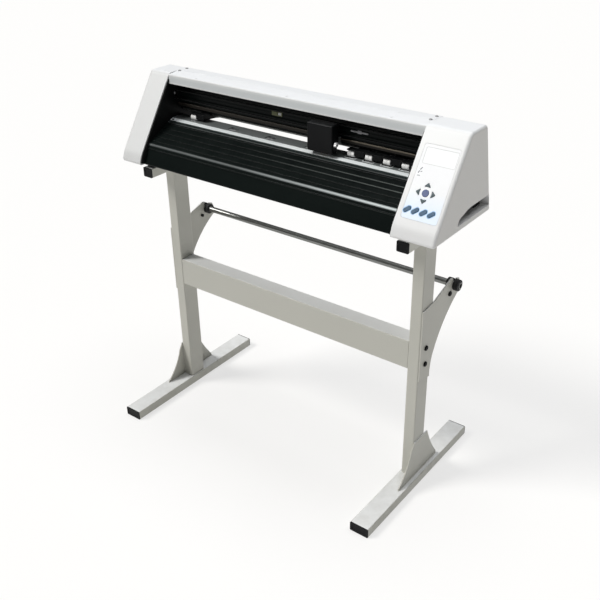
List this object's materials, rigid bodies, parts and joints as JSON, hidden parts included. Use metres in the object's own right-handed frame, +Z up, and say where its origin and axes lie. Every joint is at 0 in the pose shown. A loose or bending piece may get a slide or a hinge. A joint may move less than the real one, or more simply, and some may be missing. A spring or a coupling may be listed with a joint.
{
  "type": "vinyl cutter",
  "caption": "Floor-standing vinyl cutter: slant-fronted cutting machine with keypad end, travelling blade head and feed rollers, on a two-leg steel stand with a media roll shaft.",
  "frame": {"origin": "centre of the stand's footprint, on the floor", "axes": "+X along the machine to the keypad end, -Y towards the operator, +Z up"},
  "size_m": [0.91, 0.48, 0.9129],
  "materials": {
    "stand_paint": "semi-gloss warm light grey powder coat",
    "black_moulding": "matt black moulding",
    "black_rubber": "matt rubber",
    "blackened_steel": "black oxide",
    "plated_steel": "bright plated",
    "rail_steel": "ground rail, oiled",
    "white_casing": "fine textured white moulding",
    "grey_sheet": "satin grey",
    "black_extrusion": "black anodised",
    "bare_extrusion": "clear anodised",
    "strip_polymer": "smooth pale strip",
    "knurled_steel": "grit coated",
    "bearing_steel": "turned",
    "belt_rubber": "toothed belt",
    "motor_black": "satin black",
    "brass_tool": "turned",
    "knob_metal": "turned and plated",
    "pinch_white": "white nylon",
    "overlay_film": "printed film, satin",
    "display_window": "clear window",
    "socket_grey": "moulded connectors",
    "board_green": "circuit board lacquer",
    "switch_black": "glossy rocker",
    "key_blue": "domed key",
    "key_violet": "domed key"
  },
  "bodies": {
    "frame": {"base_tray": "grey_sheet", "carriage_beam": "black_extrusion", "carriage_belt": "belt_rubber", "circuit_boards": "board_green", "cover_screws": "blackened_steel", "cross_beam": "stand_paint", "cutting_strip": "strip_polymer", "feed_belt": "belt_rubber", "foot_tubes": "stand_paint", "frame_bolts": "blackened_steel", "front_apron": "black_extrusion", "guide_rail": "rail_steel", "gusset_plates": "stand_paint", "key_overlay": "overlay_film", "lcd_window": "display_window", "left_end_cap": "white_casing", "left_side_frame": "blackened_steel", "left_upright": "stand_paint", "pivot_bar": "plated_steel", "platen": "bare_extrusion", "rear_guide": "grey_sheet", "rear_panel": "grey_sheet", "right_end_cap": "white_casing", "right_side_frame": "blackened_steel", "right_upright": "stand_paint", "roll_brackets": "stand_paint", "rubber_feet": "black_rubber", "shaft_bearings": "bearing_steel", "sockets": "socket_grey", "stepper_motors": "motor_black", "top_cover": "white_casing", "top_rails": "stand_paint", "tube_end_caps": "black_moulding"},
    "carriage": {"carriage_block": "bare_extrusion", "carriage_cover": "black_moulding", "lift_solenoid": "black_moulding"},
    "tool": {"tool_arm": "bare_extrusion", "blade_holder": "brass_tool"},
    "clamp_knob": {"clamp_knob": "knob_metal"},
    "carriage_pulley": {"carriage_pulley": "plated_steel"},
    "idler_pulley": {"idler_pulley": "bearing_steel"},
    "feed_shaft": {"grit_shaft": "plated_steel", "grit_rollers": "knurled_steel", "feed_pulley": "bearing_steel"},
    "feed_motor_pulley": {"feed_motor_pulley": "plated_steel"},
    "pinch_arms": {"pinch_arms": "black_moulding"},
    "pinch_wheels": {"pinch_wheels": "pinch_white"},
    "pinch_lever": {"pinch_lever": "plated_steel"},
    "roll_shaft": {"roll_shaft": "plated_steel", "shaft_collars": "black_rubber"},
    "power_switch": {"power_switch": "switch_black"},
    "key_centre": {"key_centre": "key_violet"},
    "key_down": {"key_down": "key_blue"},
    "key_function_1": {"key_function_1": "key_blue"},
    "key_function_2": {"key_function_2": "key_blue"},
    "key_function_3": {"key_function_3": "key_blue"},
    "key_function_4": {"key_function_4": "key_blue"},
    "key_left": {"key_left": "key_blue"},
    "key_right": {"key_right": "key_blue"},
    "key_up": {"key_up": "key_blue"}
  },
  "joints": [
    {"name": "carriage_slide", "type": "slide", "parent": "frame", "child": "carriage", "axis": [1, 0, 0], "range_m": [-0.44, 0.207]},
    {"name": "tool_drop", "type": "slide", "parent": "carriage", "child": "tool", "axis": [0, 0, -1], "range_m": [0, 0.0035], "stiffness_N_per_m": 60, "springref_m": -0.02},
    {"name": "clamp_turn", "type": "hinge", "parent": "tool", "child": "clamp_knob", "pos_m": [0.11, 0.012, 0.828], "axis": [1, 0, 0], "range_deg": [0, 720]},
    {"name": "carriage_pulley_turn", "type": "hinge", "parent": "frame", "child": "carriage_pulley", "pos_m": [0.376, 0.039, 0.855], "axis": [0, 1, 0], "range_deg": [-2642, 1244]},
    {"name": "idler_pulley_turn", "type": "hinge", "parent": "frame", "child": "idler_pulley", "pos_m": [-0.402, 0.039, 0.855], "axis": [0, 1, 0], "range_deg": [-2642, 1244]},
    {"name": "feed_turn", "type": "hinge", "parent": "frame", "child": "feed_shaft", "pos_m": [0, 0.0363, 0.789], "axis": [1, 0, 0], "continuous": true},
    {"name": "feed_motor_turn", "type": "hinge", "parent": "frame", "child": "feed_motor_pulley", "pos_m": [0.371, 0.092, 0.75], "axis": [1, 0, 0], "continuous": true},
    {"name": "pinch_lever_turn", "type": "hinge", "parent": "frame", "child": "pinch_lever", "pos_m": [0, 0.1, 0.808], "axis": [1, 0, 0], "range_deg": [0, 50]},
    {"name": "pinch_arm_lift", "type": "hinge", "parent": "frame", "child": "pinch_arms", "pos_m": [0, 0.062, 0.812], "axis": [-1, 0, 0], "range_deg": [0, 6]},
    {"name": "pinch_wheel_turn", "type": "hinge", "parent": "pinch_arms", "child": "pinch_wheels", "pos_m": [0, 0.0363, 0.8063], "axis": [1, 0, 0], "continuous": true},
    {"name": "roll_shaft_turn", "type": "hinge", "parent": "frame", "child": "roll_shaft", "pos_m": [0, 0.126, 0.508], "axis": [1, 0, 0], "continuous": true},
    {"name": "power_switch_rock", "type": "hinge", "parent": "frame", "child": "power_switch", "pos_m": [0.436, 0.018, 0.729], "axis": [0, 1, 0], "range_deg": [0, 16]},
    {"name": "key_centre_press", "type": "slide", "parent": "frame", "child": "key_centre", "axis": [0, 0.8293, -0.5588], "range_m": [0, 0.001], "stiffness_N_per_m": 300, "springref_m": -0.0006},
    {"name": "key_down_press", "type": "slide", "parent": "frame", "child": "key_down", "axis": [0, 0.8293, -0.5588], "range_m": [0, 0.001], "stiffness_N_per_m": 300, "springref_m": -0.0006},
    {"name": "key_function_1_press", "type": "slide", "parent": "frame", "child": "key_function_1", "axis": [0, 0.8293, -0.5588], "range_m": [0, 0.001], "stiffness_N_per_m": 300, "springref_m": -0.0006},
    {"name": "key_function_2_press", "type": "slide", "parent": "frame", "child": "key_function_2", "axis": [0, 0.8293, -0.5588], "range_m": [0, 0.001], "stiffness_N_per_m": 300, "springref_m": -0.0006},
    {"name": "key_function_3_press", "type": "slide", "parent": "frame", "child": "key_function_3", "axis": [0, 0.8293, -0.5588], "range_m": [0, 0.001], "stiffness_N_per_m": 300, "springref_m": -0.0006},
    {"name": "key_function_4_press", "type": "slide", "parent": "frame", "child": "key_function_4", "axis": [0, 0.8293, -0.5588], "range_m": [0, 0.001], "stiffness_N_per_m": 300, "springref_m": -0.0006},
    {"name": "key_left_press", "type": "slide", "parent": "frame", "child": "key_left", "axis": [0, 0.8293, -0.5588], "range_m": [0, 0.001], "stiffness_N_per_m": 300, "springref_m": -0.0006},
    {"name": "key_right_press", "type": "slide", "parent": "frame", "child": "key_right", "axis": [0, 0.8293, -0.5588], "range_m": [0, 0.001], "stiffness_N_per_m": 300, "springref_m": -0.0006},
    {"name": "key_up_press", "type": "slide", "parent": "frame", "child": "key_up", "axis": [0, 0.8293, -0.5588], "range_m": [0, 0.001], "stiffness_N_per_m": 300, "springref_m": -0.0006}
  ],
  "couplings": [
    {"joint": "carriage_pulley_turn", "follows": "carriage_slide", "rad_per_m": 104.71},
    {"joint": "idler_pulley_turn", "follows": "carriage_slide", "rad_per_m": 104.71},
    {"joint": "feed_motor_turn", "follows": "feed_turn", "ratio": 2.9844},
    {"joint": "pinch_wheel_turn", "follows": "feed_turn", "ratio": -1.2667},
    {"joint": "pinch_arm_lift", "follows": "pinch_lever_turn", "ratio": 0.12}
  ]
}
